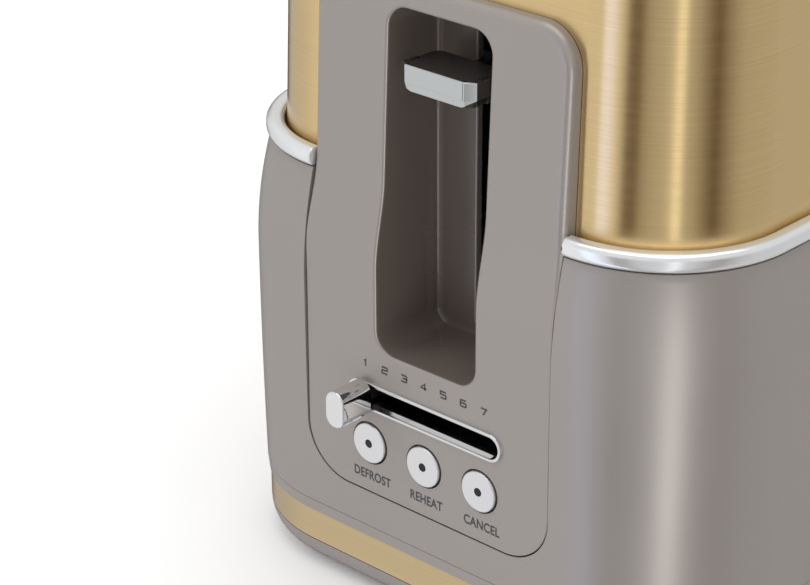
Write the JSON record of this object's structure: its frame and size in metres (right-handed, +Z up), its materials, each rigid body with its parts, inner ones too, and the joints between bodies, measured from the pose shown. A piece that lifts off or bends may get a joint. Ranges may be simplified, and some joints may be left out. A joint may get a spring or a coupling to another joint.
{
  "type": "pop up toaster",
  "caption": "Pop up toaster with bread slots in its top, a lifting lever in a tall front recess, a browning slider, push buttons and a crumb tray that slides out at the rear.",
  "frame": {"origin": "under the middle of the whole object, on the surface that the feet stand on", "axes": "+Z up, the control panel faces -Y, +X is to the right of someone facing the panel"},
  "size_m": [0.1734, 0.2954, 0.2058],
  "materials": {
    "taupe_moulding": "satin moulded, warm grey",
    "gold_steel": "fine horizontal brushing, gold tinted",
    "chrome_trim": "bright plated",
    "satin_chrome": "satin plated",
    "charcoal_moulding": "fine satin",
    "surround_enamel": "dark heat resistant enamel",
    "rubber": "moulded",
    "galvanised": "plated sheet",
    "reflector": "bright rolled sheet",
    "mica": "pressed mica board",
    "nichrome": "resistance ribbon",
    "wire": "plated wire",
    "spring_steel": "hardened wire",
    "lens": "smoked lens",
    "board": "printed circuit board",
    "black_moulding": "moulded",
    "natural_moulding": "moulded nylon",
    "copper": "enamelled winding",
    "brass": "turned",
    "lamp": "clear epoxy"
  },
  "bodies": {
    "housing": {"base": "taupe_moulding", "base_strip": "gold_steel", "belt_ring": "chrome_trim", "board_screws": "galvanised", "chassis_front": "galvanised", "chassis_rear": "galvanised", "chassis_screws": "galvanised", "control_board": "board", "control_panel": "taupe_moulding", "cord_gland": "rubber", "feet": "rubber", "guide_rod": "wire", "heater_card_centre": "mica", "heater_card_left": "mica", "heater_card_right": "mica", "heater_winding_centre": "nichrome", "heater_winding_left": "nichrome", "heater_winding_right": "nichrome", "indicator_lamps": "lamp", "lower_shell": "taupe_moulding", "magnet_coil": "copper", "magnet_core": "galvanised", "main_switch": "black_moulding", "reflector_left": "reflector", "reflector_right": "reflector", "return_spring": "spring_steel", "rod_clips": "spring_steel", "slide_potentiometer": "black_moulding", "slider_trim": "chrome_trim", "slot_surround": "surround_enamel", "tact_switches": "black_moulding", "terminal_block": "natural_moulding", "terminal_screws": "brass", "upper_shell": "gold_steel"},
    "lever": {"lever_paddle": "charcoal_moulding", "lever_cap": "chrome_trim", "carriage": "galvanised", "carriage_bush": "brass", "keeper_plate": "galvanised", "bread_rack_left": "wire", "bread_rack_right": "wire"},
    "browning_slider": {"slider_knob": "chrome_trim", "slider_carrier": "natural_moulding"},
    "defrost": {"button_defrost": "satin_chrome", "lens_defrost": "lens"},
    "reheat": {"button_reheat": "satin_chrome", "lens_reheat": "lens"},
    "cancel": {"button_cancel": "satin_chrome", "lens_cancel": "lens"},
    "crumb_drawer": {"crumb_tray": "reflector", "crumb_tray_grip": "taupe_moulding"},
    "guard_left_outer": {"bread_guard_left_outer": "wire"},
    "guard_left_inner": {"bread_guard_left_inner": "wire"},
    "guard_right_inner": {"bread_guard_right_inner": "wire"},
    "guard_right_outer": {"bread_guard_right_outer": "wire"}
  },
  "joints": [
    {"name": "lever_slide", "type": "slide", "parent": "housing", "child": "lever", "axis": [0, 0, -1], "range_m": [-0.01, 0.068], "stiffness_N_per_m": 60, "deforming": ["return_spring"]},
    {"name": "browning_slide", "type": "slide", "parent": "housing", "child": "browning_slider", "axis": [1, 0, 0], "range_m": [0, 0.0425]},
    {"name": "defrost_press", "type": "slide", "parent": "housing", "child": "defrost", "axis": [0, 1, 0], "range_m": [0, 0.002], "stiffness_N_per_m": 400},
    {"name": "reheat_press", "type": "slide", "parent": "housing", "child": "reheat", "axis": [0, 1, 0], "range_m": [0, 0.002], "stiffness_N_per_m": 400},
    {"name": "cancel_press", "type": "slide", "parent": "housing", "child": "cancel", "axis": [0, 1, 0], "range_m": [0, 0.002], "stiffness_N_per_m": 400},
    {"name": "crumb_tray_slide", "type": "slide", "parent": "housing", "child": "crumb_drawer", "axis": [0, 1, 0], "range_m": [0, 0.15]},
    {"name": "guard_left_outer_tilt", "type": "hinge", "parent": "housing", "child": "guard_left_outer", "pos_m": [-0.0495, 0.00265, 0.034], "axis": [0, 1, 0], "range_deg": [-0.8, 5.2]},
    {"name": "guard_left_inner_tilt", "type": "hinge", "parent": "housing", "child": "guard_left_inner", "pos_m": [-0.0105, 0.00265, 0.034], "axis": [0, 1, 0], "range_deg": [-5.2, 0.8]},
    {"name": "guard_right_inner_tilt", "type": "hinge", "parent": "housing", "child": "guard_right_inner", "pos_m": [0.0105, 0.00265, 0.034], "axis": [0, 1, 0], "range_deg": [-0.8, 5.2]},
    {"name": "guard_right_outer_tilt", "type": "hinge", "parent": "housing", "child": "guard_right_outer", "pos_m": [0.0495, 0.00265, 0.034], "axis": [0, 1, 0], "range_deg": [-5.2, 0.8]}
  ],
  "couplings": [
    {"joint": "guard_left_outer_tilt", "follows": "lever_slide", "rad_per_m": 1.2833},
    {"joint": "guard_left_inner_tilt", "follows": "lever_slide", "rad_per_m": -1.2833},
    {"joint": "guard_right_inner_tilt", "follows": "lever_slide", "rad_per_m": 1.2833},
    {"joint": "guard_right_outer_tilt", "follows": "lever_slide", "rad_per_m": -1.2833}
  ]
}
